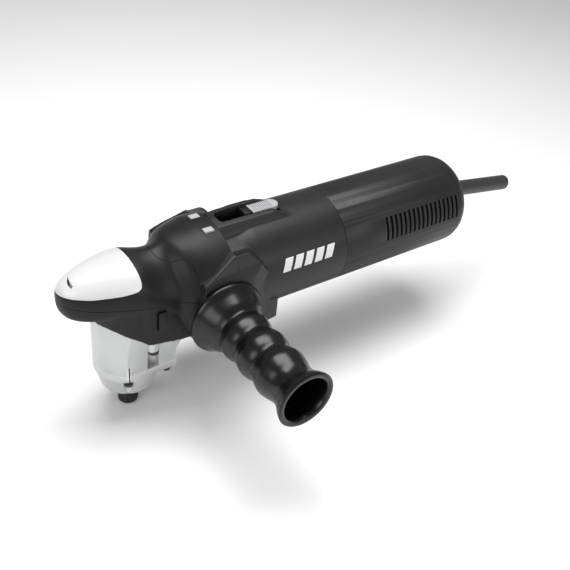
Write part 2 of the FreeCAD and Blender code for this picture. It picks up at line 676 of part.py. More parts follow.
# Cord entry
def sleeve_axis_cyl(r, start, end):
    """Cylinder on the sleeve's drooping axis, between two distances from the back face."""
    along = (SLEEVE_TIP - SLEEVE_BASE).normalize()
    base = SLEEVE_BASE + along * (8.0 + start)
    return Part.makeCylinder(r, end - start, base, along)


def cord_sleeve():
    length = (SLEEVE_TIP - SLEEVE_BASE).Length - 8.0
    body = fuse(sleeve_axis_cyl(SLEEVE_R, -7.0, length), sleeve_axis_cyl(8.6, -7.0, -4.2))
    return cut(body, sleeve_axis_cyl(SLEEVE_BORE, -30, length + 5))


def cord_clamp():
    x0 = REAR_X - 24.5
    bar = box(x0, x0 + 7.0, -12.0, 12.0, AXIS_Z + 1.0, AXIS_Z + 13.5)
    return cut(bar, cyl(4.2, 30, (x0 - 5, 0, AXIS_Z + 6.6), X), cyl(1.6, 40, (x0 + 3.5, -9.2, AXIS_Z - 5)),
               cyl(1.6, 40, (x0 + 3.5, 9.2, AXIS_Z - 5)))


def clamp_screws():
    out = []
    for y in (-9.2, 9.2):
        head = cyl(2.8, 2.0, (REAR_X - 21.0, y, AXIS_Z + 13.6))
        out.append(fuse(cyl(1.55, 14.0, (REAR_X - 21.0, y, AXIS_Z)), head))
    return group(out)


# Side handle
def wave_radius(y):
    """Outside radius over the three finger waves of the grip."""
    return GRIP_MID + GRIP_SWELL * math.cos(2 * math.pi * (y - GRIP_PEAK) / GRIP_WAVE)


def grip_points():
    """Length and radius: flange, neck, finger waves, end rim."""
    flange = [(HANDLE_Y0, 26.2), (-41.2, 26.0), (-43.5, 23.6), (-47.5, 21.4), (-52.0, 19.2), (-56.5, 17.6)]
    waves = [(-60.0 - 2.5 * i, wave_radius(-60.0 - 2.5 * i)) for i in range(21)]
    rim = [(-114.5, 15.6), (-119.0, 16.2), (-122.5, 17.8), (-125.0, 19.2), (-127.0, 19.8),
           (HANDLE_Y1, 19.0)]
    return flange + waves + rim


def grip_profile():
    curve = Part.BSplineCurve()
    curve.interpolate([V(r, y, 0) for y, r in grip_points()])
    return curve.toShape()


def side_handle_grip():
    outer = grip_profile()
    top, end = V(26.2, HANDLE_Y0, 0), V(19.0, HANDLE_Y1, 0)
    bore_end, bore_top = V(15.6, HANDLE_Y1, 0), V(13.0, -62.0, 0)
    edges = [outer, Part.makeLine(end, bore_end), Part.makeLine(bore_end, bore_top),
             Part.makeLine(bore_top, V(0, -62.0, 0)), Part.makeLine(V(0, -62.0, 0), V(0, HANDLE_Y0, 0)),
             Part.makeLine(V(0, HANDLE_Y0, 0), top)]
    solid = Part.Face(Part.Wire(Part.__sortEdges__(edges))).revolve(V(0, 0, 0), Y, 360)
    solid.translate(V(HANDLE_X, 0, HANDLE_Z))
    return cut(solid, cyl(STUD_R + RUN, 15.0, (HANDLE_X, -54.0, HANDLE_Z), Y),
               cyl(8.0, 4.0, (HANDLE_X, -50.0, HANDLE_Z), Y))


def handle_stud():
    shank = cyl(STUD_R - 0.05, 54.0 - 38.7 + STUD_L, (HANDLE_X, -53.9, HANDLE_Z), Y)
    return fuse(shank, cyl(7.9, 3.8, (HANDLE_X, -49.9, HANDLE_Z), Y))


# Write every piece
ball_bearings("lower_bearing", 17.5, 7.5, 11.0, [(0, 0, 7.5)], Z, 9)
ball_bearings("upper_bearing", 11.0, 4.0, 7.0, [(0, 0, UPPER_BEARING_Z)], Z, 8)
ball_bearings("layshaft_bearings", 8.0, 4.0, 4.0, [(22.6, 0, LAY_Z), (BRACKET_X0, 0, LAY_Z)], X, 9)
ball_bearings("motor_bearings", 11.0, 4.0, 7.0, [(BRACKET_X1 - 7.05, 0, AXIS_Z), (173.0, 0, AXIS_Z)], X, 8)

PIECES = [
    upper_shroud, lower_shroud, head_cap, collar_cover, marks, gear_housing, bearing_cover,
    cover_screws, side_screws, crown_wheel, bevel_pinion, spindle, lock_disc, lock_button,
    lock_pin, lock_spring, layshaft, layshaft_gear, armature_shaft, armature_pinion,
    bearing_bracket, bracket_bolts, cooling_fan, fan_baffle, armature_core, armature_windings,
    commutator, field_core, field_coils, brush_holders, carbon_brushes, brush_springs,
    brush_carrier, front_housing, rear_motor_housing, slider_carrier, slider_pad, switch_rod,
    switch_block, speed_module, speed_dial, dial_potentiometer, cord_sleeve, cord_clamp,
    clamp_screws, side_handle_grip, handle_stud,
]
for piece in PIECES:
    save(piece.__name__, piece())
print(len(os.listdir("parts")), "pieces")
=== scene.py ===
import bpy
import bmesh
import json
import math
from mathutils import Matrix, Vector


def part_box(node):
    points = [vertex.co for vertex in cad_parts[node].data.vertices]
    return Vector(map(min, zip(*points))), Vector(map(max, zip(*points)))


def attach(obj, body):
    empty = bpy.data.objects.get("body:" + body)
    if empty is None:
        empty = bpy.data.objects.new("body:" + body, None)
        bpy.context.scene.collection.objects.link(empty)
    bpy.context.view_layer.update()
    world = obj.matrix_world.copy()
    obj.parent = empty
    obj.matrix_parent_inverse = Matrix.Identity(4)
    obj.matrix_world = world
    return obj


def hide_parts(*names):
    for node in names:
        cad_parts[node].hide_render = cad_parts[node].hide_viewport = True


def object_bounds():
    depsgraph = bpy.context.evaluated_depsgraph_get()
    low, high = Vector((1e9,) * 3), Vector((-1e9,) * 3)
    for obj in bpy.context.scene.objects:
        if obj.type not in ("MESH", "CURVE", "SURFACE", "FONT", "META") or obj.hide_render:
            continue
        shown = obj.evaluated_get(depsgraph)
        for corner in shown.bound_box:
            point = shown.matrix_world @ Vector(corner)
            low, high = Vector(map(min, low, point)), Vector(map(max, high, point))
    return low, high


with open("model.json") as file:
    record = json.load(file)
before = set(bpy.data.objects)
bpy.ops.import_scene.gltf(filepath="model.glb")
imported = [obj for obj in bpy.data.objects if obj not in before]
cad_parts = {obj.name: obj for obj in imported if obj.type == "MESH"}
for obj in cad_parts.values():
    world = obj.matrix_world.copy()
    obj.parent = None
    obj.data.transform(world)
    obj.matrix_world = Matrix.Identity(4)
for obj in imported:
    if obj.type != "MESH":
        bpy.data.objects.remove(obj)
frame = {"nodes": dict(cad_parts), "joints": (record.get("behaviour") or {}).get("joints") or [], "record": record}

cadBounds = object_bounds()
mm = 0.001
joints = {joint["name"]: joint for joint in frame["joints"]}
motorZ = joints["armature_spin"]["pos_m"][2] / mm      # height of the motor axis
handleX = joints["handle_turn"]["pos_m"][0] / mm
handleZ = joints["handle_turn"]["pos_m"][2] / mm
print("frame loaded")


def cornersOf(node):
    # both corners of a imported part's box, in millimetres
    low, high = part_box(node)
    return [value / mm for value in low], [value / mm for value in high]


rearLow, rearHigh = cornersOf("rear_motor_housing")
seamX = rearLow[0]                                     # joint between the two barrels
barrelR = rearHigh[1]                                  # outside radius of the barrel


# small modelling helpers, used by every piece below

def pickOnly(piece):
    bpy.ops.object.select_all(action="DESELECT")
    piece.select_set(True)
    bpy.context.view_layer.objects.active = piece


def editMode():
    bpy.ops.object.mode_set(mode="EDIT")


def objectMode():
    bpy.ops.object.mode_set(mode="OBJECT")


def drawLine(name, points, closed=False):
    # one vertex walked along the outline by extruding it, points in millimetres
    bpy.ops.object.select_all(action="DESELECT")
    bpy.ops.mesh.primitive_plane_add(size=mm)
    piece = bpy.context.object
    piece.name = name
    editMode()
    bpy.ops.mesh.merge(type="CENTER")
    here = Vector(points[0]) * mm
    bpy.ops.transform.translate(value=here)
    for spot in points[1:]:
        there = Vector(spot) * mm
        bpy.ops.mesh.extrude_region_move(TRANSFORM_OT_translate={"value": there - here})
        here = there
    if closed:
        bpy.ops.mesh.select_all(action="SELECT")
        bpy.ops.mesh.edge_face_add()
    return piece


def faceOut():
    bpy.ops.mesh.select_all(action="SELECT")
    bpy.ops.mesh.remove_doubles(threshold=0.00001)
    bpy.ops.mesh.normals_make_consistent(inside=False)


def prism(name, outline, depth):
    # closed outline pulled along a vector
    piece = drawLine(name, outline, closed=True)
    bpy.ops.mesh.extrude_region_move(TRANSFORM_OT_translate={"value": Vector(depth) * mm})
    faceOut()
    objectMode()
    return piece


def turned(name, profile, centre, axis, steps):
    # open outline spun all the way round an axis
    piece = drawLine(name, profile)
    bpy.ops.mesh.select_all(action="SELECT")
    bpy.ops.mesh.spin(steps=steps, angle=2 * math.pi, center=Vector(centre) * mm, axis=axis)
    faceOut()
    objectMode()
    return piece


def turnedAlongX(name, profile, steps):
    # outline given as length and radius, spun round the motor axis
    return turned(name, [(x, 0, motorZ + r) for x, r in profile], (0, 0, motorZ), (1, 0, 0), steps)


def block(name, low, high):
    x0, y0, z0 = low
    x1, y1, z1 = high
    return prism(name, [(x0, y0, z0), (x1, y0, z0), (x1, y1, z0), (x0, y1, z0)], (0, 0, z1 - z0))


def rod(name, start, end, radius, sides=48):
    # straight round bar between two points
    a, b = Vector(start) * mm, Vector(end) * mm
    turn = (b - a).to_track_quat("Z", "Y").to_euler()
    bpy.ops.object.select_all(action="DESELECT")
    bpy.ops.mesh.primitive_cylinder_add(vertices=sides, radius=radius * mm, depth=(b - a).length,
                                        location=(a + b) / 2, rotation=turn)
    piece = bpy.context.object
    piece.name = name
    bpy.ops.object.transform_apply(location=True, rotation=True, scale=True)
    return piece


def applyModifier(piece, kind, **values):
    pickOnly(piece)
    step = piece.modifiers.new(kind.title(), kind)
    for key, value in values.items():
        setattr(step, key, value)
    bpy.ops.object.modifier_apply(modifier=step.name)


def combine(piece, tool, operation):
    applyModifier(piece, "BOOLEAN", object=tool, operation=operation, solver="EXACT")
    bpy.data.objects.remove(tool)
    return piece


def cutAway(piece, *tools):
    for tool in tools:
        combine(piece, tool, "DIFFERENCE")
    return piece


def keepInside(piece, tool):
    return combine(piece, tool, "INTERSECT")


def merge(piece, *others):
    for other in others:
        combine(piece, other, "UNION")
    return piece


def roundEdges(piece, width, segments=3, above=30):
    applyModifier(piece, "BEVEL", width=width * mm, segments=segments, limit_method="ANGLE",
                  angle_limit=math.radians(above), use_clamp_overlap=True)


def remould(piece, voxel, rounds, factor=0.5):
    # even mesh all over, then the corners are rubbed soft
    applyModifier(piece, "REMESH", mode="VOXEL", voxel_size=voxel * mm)
    applyModifier(piece, "SMOOTH", factor=factor, iterations=rounds)


def copyOf(piece, name):
    twin = piece.copy()
    twin.data = piece.data.copy()
    twin.name = name
    bpy.context.collection.objects.link(twin)
    return twin


def finishPiece(piece, body, nodes, paint, sharp=35):
    pickOnly(piece)
    bpy.ops.object.shade_smooth_by_angle(angle=math.radians(sharp))
    piece.data.materials.clear()
    piece.data.materials.append(paint)
    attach(piece, body)
    if nodes:
        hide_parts(*nodes)
    return piece


# materials

def newPaint(name):
    paint = bpy.data.materials.new(name)
    paint.use_nodes = True
    nodes = paint.node_tree.nodes
    return paint, nodes, paint.node_tree.links, nodes["Principled BSDF"]


def mottle(nodes, links, scale, detail=4.0):
    coords = nodes.new("ShaderNodeTexCoord")
    noise = nodes.new("ShaderNodeTexNoise")
    noise.inputs["Scale"].default_value = scale
    noise.inputs["Detail"].default_value = detail
    links.new(coords.outputs["Object"], noise.inputs["Vector"])
    return noise


def spread(nodes, links, source, low, high, fromLow=0.3, fromHigh=0.7):
    stretch = nodes.new("ShaderNodeMapRange")
    stretch.inputs["From Min"].default_value = fromLow
    stretch.inputs["From Max"].default_value = fromHigh
    stretch.inputs["To Min"].default_value = low
    stretch.inputs["To Max"].default_value = high
    links.new(source, stretch.inputs["Value"])
    return stretch.outputs["Result"]


def blendColours(nodes, links, factor, first, second):
    mixer = nodes.new("ShaderNodeMix")
    mixer.data_type = "RGBA"
    mixer.inputs["A"].default_value = (*first, 1)
    mixer.inputs["B"].default_value = (*second, 1)
    links.new(factor, mixer.inputs["Factor"])
    return mixer.outputs["Result"]


def mouldedPaint(name, settings):
    # plastics and rubbers: cloudy colour, uneven gloss, moulded grain as bump
    paint, nodes, links, shader = newPaint(name)
    cloud = mottle(nodes, links, settings["cloud"])
    grain = mottle(nodes, links, settings["grain"], 2.0)
    tint = blendColours(nodes, links, cloud.outputs["Fac"], settings["dark"], settings["light"])
    links.new(tint, shader.inputs["Base Color"])
    gloss = spread(nodes, links, cloud.outputs["Fac"], settings["rough"][0], settings["rough"][1])
    links.new(gloss, shader.inputs["Roughness"])
    bump = nodes.new("ShaderNodeBump")
    bump.inputs["Strength"].default_value = settings["bump"]
    bump.inputs["Distance"].default_value = settings.get("depth", 0.00006)
    links.new(grain.outputs["Fac"], bump.inputs["Height"])
    links.new(bump.outputs["Normal"], shader.inputs["Normal"])
    shader.inputs["Specular IOR Level"].default_value = settings.get("specular", 0.5)
    shader.inputs["Coat Weight"].default_value = settings.get("coat", 0.0)
    shader.inputs["Coat Roughness"].default_value = settings.get("coatRough", 0.2)
    return paint


wornEdges = {"radius": 0.0006, "sharp": 0.85, "flat": 0.995, "bumpDepth": 0.00005}


def metalPaint(name, settings):
    # metals: cloudy roughness, fine bump, paler rubbed edges
    paint, nodes, links, shader = newPaint(name)
    cloud = mottle(nodes, links, settings["cloud"])
    grain = mottle(nodes, links, settings["grain"], 3.0)
    bevel = nodes.new("ShaderNodeBevel")
    bevel.samples = 4
    bevel.inputs["Radius"].default_value = wornEdges["radius"]
    surface = nodes.new("ShaderNodeNewGeometry")
    agree = nodes.new("ShaderNodeVectorMath")
    agree.operation = "DOT_PRODUCT"
    links.new(bevel.outputs["Normal"], agree.inputs[0])
    links.new(surface.outputs["Normal"], agree.inputs[1])
    wear = spread(nodes, links, agree.outputs["Value"], 1.0, 0.0, wornEdges["sharp"], wornEdges["flat"])
    body = blendColours(nodes, links, cloud.outputs["Fac"], settings["dark"], settings["light"])
    worn = nodes.new("ShaderNodeMix")
    worn.data_type = "RGBA"
    worn.inputs["B"].default_value = (*settings["edge"], 1)
    links.new(body, worn.inputs["A"])
    links.new(wear, worn.inputs["Factor"])
    links.new(worn.outputs["Result"], shader.inputs["Base Color"])
    links.new(spread(nodes, links, cloud.outputs["Fac"], settings["rough"][0], settings["rough"][1]),
              shader.inputs["Roughness"])
    bump = nodes.new("ShaderNodeBump")
    bump.inputs["Strength"].default_value = settings["bump"]
    bump.inputs["Distance"].default_value = wornEdges["bumpDepth"]
    links.new(grain.outputs["Fac"], bump.inputs["Height"])
    links.new(bump.outputs["Normal"], shader.inputs["Normal"])
    shader.inputs["Metallic"].default_value = settings["metallic"]
    return paint


barrelPlastic = mouldedPaint("barrelPlastic", {"dark": (0.0085, 0.0085, 0.0095),
                                               "light": (0.013, 0.013, 0.014), "cloud": 30, "grain": 2600,
                                               "rough": (0.40, 0.48), "bump": 0.35, "specular": 0.36})
softPlastic = mouldedPaint("softPlastic", {"dark": (0.0045, 0.0045, 0.0055),
                                           "light": (0.0075, 0.0075, 0.0085), "cloud": 40, "grain": 3400,
                                           "rough": (0.42, 0.50), "bump": 0.25, "specular": 0.3})
gripPlastic = mouldedPaint("gripPlastic", {"dark": (0.0025, 0.0025, 0.003), "light": (0.004, 0.004, 0.0045),
                           "cloud": 35, "grain": 900, "rough": (0.24, 0.32), "bump": 0.05, "specular": 0.4})
whiteGloss = mouldedPaint("whiteGloss", {"dark": (0.60, 0.60, 0.60), "light": (0.67, 0.67, 0.665),
                                         "cloud": 20, "grain": 1200, "rough": (0.28, 0.36), "bump": 0.04,
                                         "coat": 0.3})
paleGrey = mouldedPaint("paleGrey", {"dark": (0.36, 0.36, 0.37), "light": (0.44, 0.44, 0.45), "cloud": 60,
                        "grain": 3000, "rough": (0.42, 0.52), "bump": 0.2})
cordRubber = mouldedPaint("cordRubber", {"dark": (0.020, 0.020, 0.021), "light": (0.032, 0.032, 0.034),
                          "cloud": 50, "grain": 2200, "rough": (0.45, 0.55), "bump": 0.25})
printWhite = mouldedPaint("printWhite", {"dark": (0.70, 0.70, 0.70), "light": (0.78, 0.78, 0.78), "cloud": 80,
                          "grain": 4000, "rough": (0.45, 0.55), "bump": 0.1})
brushCarbon = mouldedPaint("brushCarbon", {"dark": (0.03, 0.03, 0.03), "light": (0.05, 0.05, 0.05),
                                           "cloud": 90, "grain": 3000, "rough": (0.6, 0.8), "bump": 0.4})
fanPlastic = mouldedPaint("fanPlastic", {"dark": (0.05, 0.05, 0.06), "light": (0.08, 0.08, 0.09), "cloud": 40,
                          "grain": 1800, "rough": (0.45, 0.55), "bump": 0.2})
boardGreen = mouldedPaint("boardGreen", {"dark": (0.02, 0.11, 0.04), "light": (0.04, 0.17, 0.07), "cloud": 70,
                          "grain": 2500, "rough": (0.35, 0.5), "bump": 0.3})
castMetal = metalPaint("castMetal", {"dark": (0.52, 0.525, 0.53), "light": (0.62, 0.625, 0.63), "cloud": 60,
                                     "grain": 2400, "rough": (0.36, 0.48), "bump": 0.5,
                                     "edge": (0.76, 0.76, 0.76), "metallic": 0.8})
blackSteel = metalPaint("blackSteel", {"dark": (0.035, 0.035, 0.037), "light": (0.055, 0.055, 0.058),
                                       "cloud": 90, "grain": 2000, "rough": (0.30, 0.42), "bump": 0.2,
                                       "edge": (0.16, 0.16, 0.16), "metallic": 0.7})
groundSteel = metalPaint("groundSteel", {"dark": (0.50, 0.50, 0.50), "light": (0.60, 0.60, 0.60), "cloud": 80,
                                         "grain": 3000, "rough": (0.25, 0.36), "bump": 0.2,
                                         "edge": (0.75, 0.75, 0.75), "metallic": 1.0})
sheetStack = metalPaint("sheetStack", {"dark": (0.17, 0.17, 0.18), "light": (0.25, 0.25, 0.26), "cloud": 80,
                                       "grain": 1800, "rough": (0.4, 0.55), "bump": 0.5,
                                       "edge": (0.4, 0.4, 0.4), "metallic": 0.9})
copperWire = metalPaint("copperWire", {"dark": (0.42, 0.16, 0.07), "light": (0.60, 0.26, 0.12), "cloud": 120,
                                       "grain": 1200, "rough": (0.25, 0.4), "bump": 0.8,
                                       "edge": (0.75, 0.4, 0.22), "metallic": 0.9})
brassSheet = metalPaint("brassSheet", {"dark": (0.52, 0.38, 0.13), "light": (0.66, 0.50, 0.20), "cloud": 80,
                                       "grain": 2500, "rough": (0.25, 0.38), "bump": 0.2,
                                       "edge": (0.8, 0.66, 0.35), "metallic": 1.0})
slotPaints = {"soft_black": softPlastic, "black_plastic": barrelPlastic, "handle_black": gripPlastic,
              "white_cap": whiteGloss, "light_grey": paleGrey, "cast_aluminium": castMetal,
              "black_steel": blackSteel, "steel": groundSteel, "laminations": sheetStack,
              "copper": copperWire, "brass": brassSheet, "carbon": brushCarbon, "fan_plastic": fanPlastic,
              "board": boardGreen, "rubber": cordRubber}
for part in frame["record"]["subparts"]:
    node = frame["nodes"][part["node"]]
    node.data.materials.clear()
    node.data.materials.append(slotPaints[part["material_slot"]])
print("materials made")


# camera, lights and floor

cameraLook = {"place": (-181.4, -378.8, 402.2), "azimuth": -39.51, "elevation": 36.63, "roll": 6.74,
              "lens": 51.38, "sensor": 36, "nearest": 0.01}
studio = {"worldStrength": 0.32, "floorSize": 12, "floorDrop": 0.0002}


def setCamera():
    turn, tilt = math.radians(cameraLook["azimuth"]), math.radians(cameraLook["elevation"])
    lean = math.radians(cameraLook["roll"])
    ahead = Vector((-math.sin(turn) * math.cos(tilt), math.cos(turn) * math.cos(tilt), -math.sin(tilt)))
    level = Vector((math.cos(turn), math.sin(turn), 0))
    upright = level.cross(ahead)
    right = level * math.cos(lean) + upright * math.sin(lean)
    up = upright * math.cos(lean) - level * math.sin(lean)
    data = bpy.data.cameras.new("camera")
    data.lens = cameraLook["lens"]
    data.sensor_width = cameraLook["sensor"]
    data.clip_start = cameraLook["nearest"]
    camera = bpy.data.objects.new("camera", data)
    bpy.context.collection.objects.link(camera)
    turning = Matrix((right, up, -ahead)).transposed().to_4x4()
    camera.matrix_world = Matrix.Translation(Vector(cameraLook["place"]) * mm) @ turning
    bpy.context.scene.camera = camera


softboxes = [   # name, place, aim, width, height, watts
    ("boxAbove", (0.16, 0.10, 0.95), (0.12, 0.0, 0.06), 0.8, 0.5, 9.5),
    ("boxLeft", (-0.80, -0.30, 0.50), (0.05, -0.02, 0.06), 0.6, 0.5, 3.2),
    ("boxFront", (0.40, -0.95, 0.42), (0.12, -0.03, 0.06), 0.8, 0.35, 2.6),
]


def setLights():
    for name, place, aim, width, height, watts in softboxes:
        data = bpy.data.lights.new(name, "AREA")
        data.shape = "RECTANGLE"
        data.size = width
        data.size_y = height
        data.energy = watts
        lamp = bpy.data.objects.new(name, data)
        lamp.location = place
        lamp.rotation_euler = (Vector(aim) - Vector(place)).to_track_quat("-Z", "Y").to_euler()
        bpy.context.collection.objects.link(lamp)
    world = bpy.data.worlds.new("studio")
    world.use_nodes = True
    sky = world.node_tree.nodes["Background"]
    sky.inputs["Color"].default_value = (1.0, 1.0, 1.0, 1)
    sky.inputs["Strength"].default_value = studio["worldStrength"]
    bpy.context.scene.world = world
    bpy.context.scene.view_settings.view_transform = "Standard"


def setFloor():
    bpy.ops.object.select_all(action="DESELECT")
    ground = cadBounds[0][2] - studio["floorDrop"]
    bpy.ops.mesh.primitive_plane_add(size=studio["floorSize"], location=(0, 0, ground))
    floor = bpy.context.object
    floor.name = "studioFloor"
    floor.data.materials.append(mouldedPaint("floorPaper", {"dark": (0.93, 0.93, 0.93),
                                                            "light": (0.95, 0.95, 0.95), "cloud": 3,
                                                            "grain": 400, "rough": (0.7, 0.8), "bump": 0.02}))


# curves that give a value along a length, through the few points named

def curveThrough(points, x):
    if x <= points[0][0]:
        return points[0][1]
    for i in range(len(points) - 1):
        if x <= points[i + 1][0]:
            break
    else:
        return points[-1][1]
    (x0, y0), (x1, y1) = points[i], points[i + 1]
    before, after = points[max(i - 1, 0)], points[min(i + 2, len(points) - 1)]
    slope0 = (y1 - before[1]) / (x1 - before[0])
    slope1 = (after[1] - y0) / (after[0] - x0)
    t, span = (x - x0) / (x1 - x0), x1 - x0
    return ((1 + 2 * t) * (1 - t) ** 2 * y0 + t * (1 - t) ** 2 * span * slope0
            + t * t * (3 - 2 * t) * y1 + t * t * (t - 1) * span * slope1)


def loft(name, rings, sides, section):
    # a straight tube of rings, whose points then move to the section of their own ring
    bpy.ops.object.select_all(action="DESELECT")
    bpy.ops.mesh.primitive_circle_add(vertices=sides, radius=1, fill_type="NGON",
                                      rotation=(0, math.pi / 2, 0))
    piece = bpy.context.object
    piece.name = name
    bpy.ops.object.transform_apply(rotation=True)
    editMode()
    for step in range(rings - 1):
        bpy.ops.mesh.extrude_region_move(TRANSFORM_OT_translate={"value": (1, 0, 0)})
    tube = bmesh.from_edit_mesh(piece.data)
    for point in tube.verts:
        angle = math.atan2(point.co.z, point.co.y)
        point.co = Vector(section(round(point.co.x), angle)) * mm
    bmesh.update_edit_mesh(piece.data)
    faceOut()
    objectMode()
    return piece


def signedPower(value, power):
    return math.copysign(abs(value) ** power, value)


# head: white cap, upper and lower shroud and collar, all cut from one soft form

head = {
    "first": -45.5, "last": 64.0, "rings": 120, "sides": 96, "voxel": 0.8, "soft": 5,
    # along the motor axis: x, then half width, top, bottom, widest level, roundness above and below
    "halfWidth": [(-45.5, 0.8), (-45.0, 3.4), (-44.0, 6.2), (-42.0, 9.1), (-39.5, 11.5), (-35, 14.6),
                  (-28, 18.1), (-20, 20.9), (-10, 24.0), (0, 26.3), (10, 27.0), (20, 27.0), (26, 27.6),
                  (29, 30.0), (33, 33.2), (39, 36.6), (45, 38.5), (50, 40.0), (64, 40.1)],
    "top": [(-45.5, 93.0), (-45.0, 95.2), (-44.0, 97.0), (-42.0, 99.0), (-39.5, 100.5), (-35, 102.4),
            (-28, 104.4), (-20, 106.0), (-10, 107.2), (0, 107.4), (10, 106.5), (20, 106.8), (26, 109.0),
            (30, 111.3), (36, 113.0), (45, 114.8), (50, 115.7), (64, 115.7)],
    "bottom": [(-45.5, 84.5), (-45.0, 82.0), (-44.0, 79.6), (-42.0, 77.2), (-39.5, 75.8), (-35, 74.7),
               (-28, 74.0), (12, 74.0), (20, 68.0), (28, 56.0), (33, 46.0), (39, 39.5), (45, 37.2),
               (50, 35.7), (64, 35.5)],
    "middle": [(-45.5, 88.5), (-35, 87.0), (-20, 86.0), (0, 85.0), (10, 82.5), (20, 79.5), (28, 76.5),
               (33, 75.6), (64, 75.6)],
    "upperRound": [(-45.5, 2.0), (-28, 2.2), (-5, 2.2), (4, 2.0), (10, 1.72), (16, 1.55), (24, 1.55),
                   (28, 1.8), (33, 2.0), (64, 2.0)],
    "lowerRound": [(-45.5, 2.0), (-40, 3.4), (-30, 4.0), (20, 4.0), (30, 3.2), (39, 2.1), (50, 2.0),
                   (64, 2.0)],
    "tongue": [(17.5, 0), (17.9, 4), (19.3, 8), (21.8, 11), (26.0, 14.0), (30.6, 17.2), (34.0, 20.6),
               (35.7, 24.6), (36.2, 29), (36.3, 60)],
    "bandSeam": [(-60, 88.4), (-45, 88.2), (-36, 86.6), (-24, 85.0), (-8, 83.6), (4, 82.0), (13, 80.2),
                 (20, 79.6), (70, 79.6)],
    "capSide": [(-60, 94.3), (-44, 94.3), (-30, 93.8), (-12, 94.2), (-6, 94.8), (-2.2, 95.4), (0.2, 96.6),
                (1.2, 99.0), (1.4, 102.0), (0.6, 130), (-60, 130)],
    # thin moon-shaped opening near the front of the cap
    "slit": [(-36.0, 2.6), (-38.2, -0.6), (-38.8, -3.6), (-38.0, -6.6), (-36.6, -6.2), (-36.9, -3.4),
             (-36.7, -0.8)],
    "gap": 0.22, "edge": 0.35, "buttonGap": 0.4, "markGap": 0.1, "markWidth": 4.8, "markDepth": 3.0,
    # hollows that leave room for the gear case, the motor and the handle stud
    "caseHollow": {"r": 23.3, "low": 30, "high": 92}, "drumHollow": {"r": 24.8, "start": 16, "z": 68.5},
    "motorHollow": {"r": 31.6, "start": 39.5}, "studHoleR": 9.2,
    "boss": {"r": 24.4, "reach": 38.5, "front": 36.5, "low": 41, "high": 120}, "cutOff": 62.0,
}
skirt = {"roundR": 24.4, "roundTurn": 88, "roundSteps": 10, "cornerX": 5.2, "cornerY": 26.2, "sideY": 26.7,
         "rearX": 38.0, "lowZ": 40.0, "topZ": 80.0,
         "hem": [(-60, 66.2), (-20, 66.2), (-15.4, 64.2), (-11, 61.2), (-4, 56.8), (3.4, 51.0), (6.5, 50.1),
                 (16.7, 48.6), (27, 46.9), (36, 46.2), (50, 44.0), (50, 0), (-60, 0)]}
flank = {"frontX": 36.6, "brow": [(20, 85.2), (35.3, 92.8), (62.0, 106.0), (70, 106.0)],
         "half": [(0, 108.5), (16, 107.5), (28, 107.2), (31.4, 106.0), (36.5, 97.0), (38.5, 90.0), (38.5, 48.0),
                  (35.0, 43.0), (20.0, 41.0), (0, 41.0)]}


def headSection(ring, angle):
    share = ring / (head["rings"] - 1)
    x = head["first"] + (head["last"] - head["first"]) * share
    width, top = curveThrough(head["halfWidth"], x), curveThrough(head["top"], x)
    bottom, middle = curveThrough(head["bottom"], x), curveThrough(head["middle"], x)
    across, upward = math.cos(angle), math.sin(angle)
    roundness = curveThrough(head["upperRound"] if upward > 0 else head["lowerRound"], x)
    reach = top - middle if upward > 0 else middle - bottom
    return (x, width * signedPower(across, 2 / roundness),
            middle + reach * signedPower(upward, 2 / roundness))


def bothSides(half):
    # outline given on the +Y side, mirrored to close it
    return half + [(-y, z) for y, z in reversed(half) if abs(y) > 0.01]


def alongX(outline, x0, x1):
    return prism("tool", [(x0, y, z) for y, z in outline], (x1 - x0, 0, 0))


def alongY(outline, reach=70.0):
    return prism("tool", [(x, -reach, z) for x, z in outline], (0, 2 * reach, 0))


def alongZ(outline, z0, z1):
    return prism("tool", [(x, y, z0) for x, y in outline], (0, 0, z1 - z0))


def makeHeadForm():
    form = loft("headForm", head["rings"], head["sides"], headSection)
    # round front of the skirt from +Y to -Y, then its straight sides
    plan = []
    for i in range(-skirt["roundSteps"], skirt["roundSteps"] + 1):
        turn = math.pi + i * math.radians(skirt["roundTurn"]) / skirt["roundSteps"]
        plan.append((skirt["roundR"] * math.cos(turn), -skirt["roundR"] * math.sin(turn)))
    if plan[0][1] < 0:
        plan.reverse()
    plan += [(skirt["cornerX"], -skirt["cornerY"]), (skirt["rearX"], -skirt["sideY"]),
             (skirt["rearX"], skirt["sideY"]), (skirt["cornerX"], skirt["cornerY"])]
    hanging = cutAway(alongZ(plan, skirt["lowZ"], skirt["topZ"]), alongY(skirt["hem"]))
    side = alongX(bothSides(flank["half"]), flank["frontX"], head["last"])
    cutAway(side, alongY(flank["brow"] + [(70, 130), (20, 130)]))
    bossSize = head["boss"]
    boss = rod("boss", (handleX, -bossSize["reach"], handleZ), (handleX, bossSize["reach"], handleZ),
               bossSize["r"])
    keepInside(boss, block("tool", (bossSize["front"], -60, bossSize["low"]),
                           (head["last"], 60, bossSize["high"])))
    merge(form, hanging, side, boss)
    remould(form, head["voxel"], head["soft"])
    case, drum, motor = head["caseHollow"], head["drumHollow"], head["motorHollow"]
    return cutAway(form,
                   rod("tool", (0, 0, case["low"]), (0, 0, case["high"]), case["r"], 64),
                   rod("tool", (drum["start"], 0, drum["z"]), (70, 0, drum["z"]), drum["r"], 64),
                   rod("tool", (motor["start"], 0, motorZ), (70, 0, motorZ), motor["r"], 64),
                   rod("tool", (handleX, -60, handleZ), (handleX, 60, handleZ), head["studHoleR"]),
                   block("tool", (head["cutOff"], -60, 0), (90, 60, 140)))


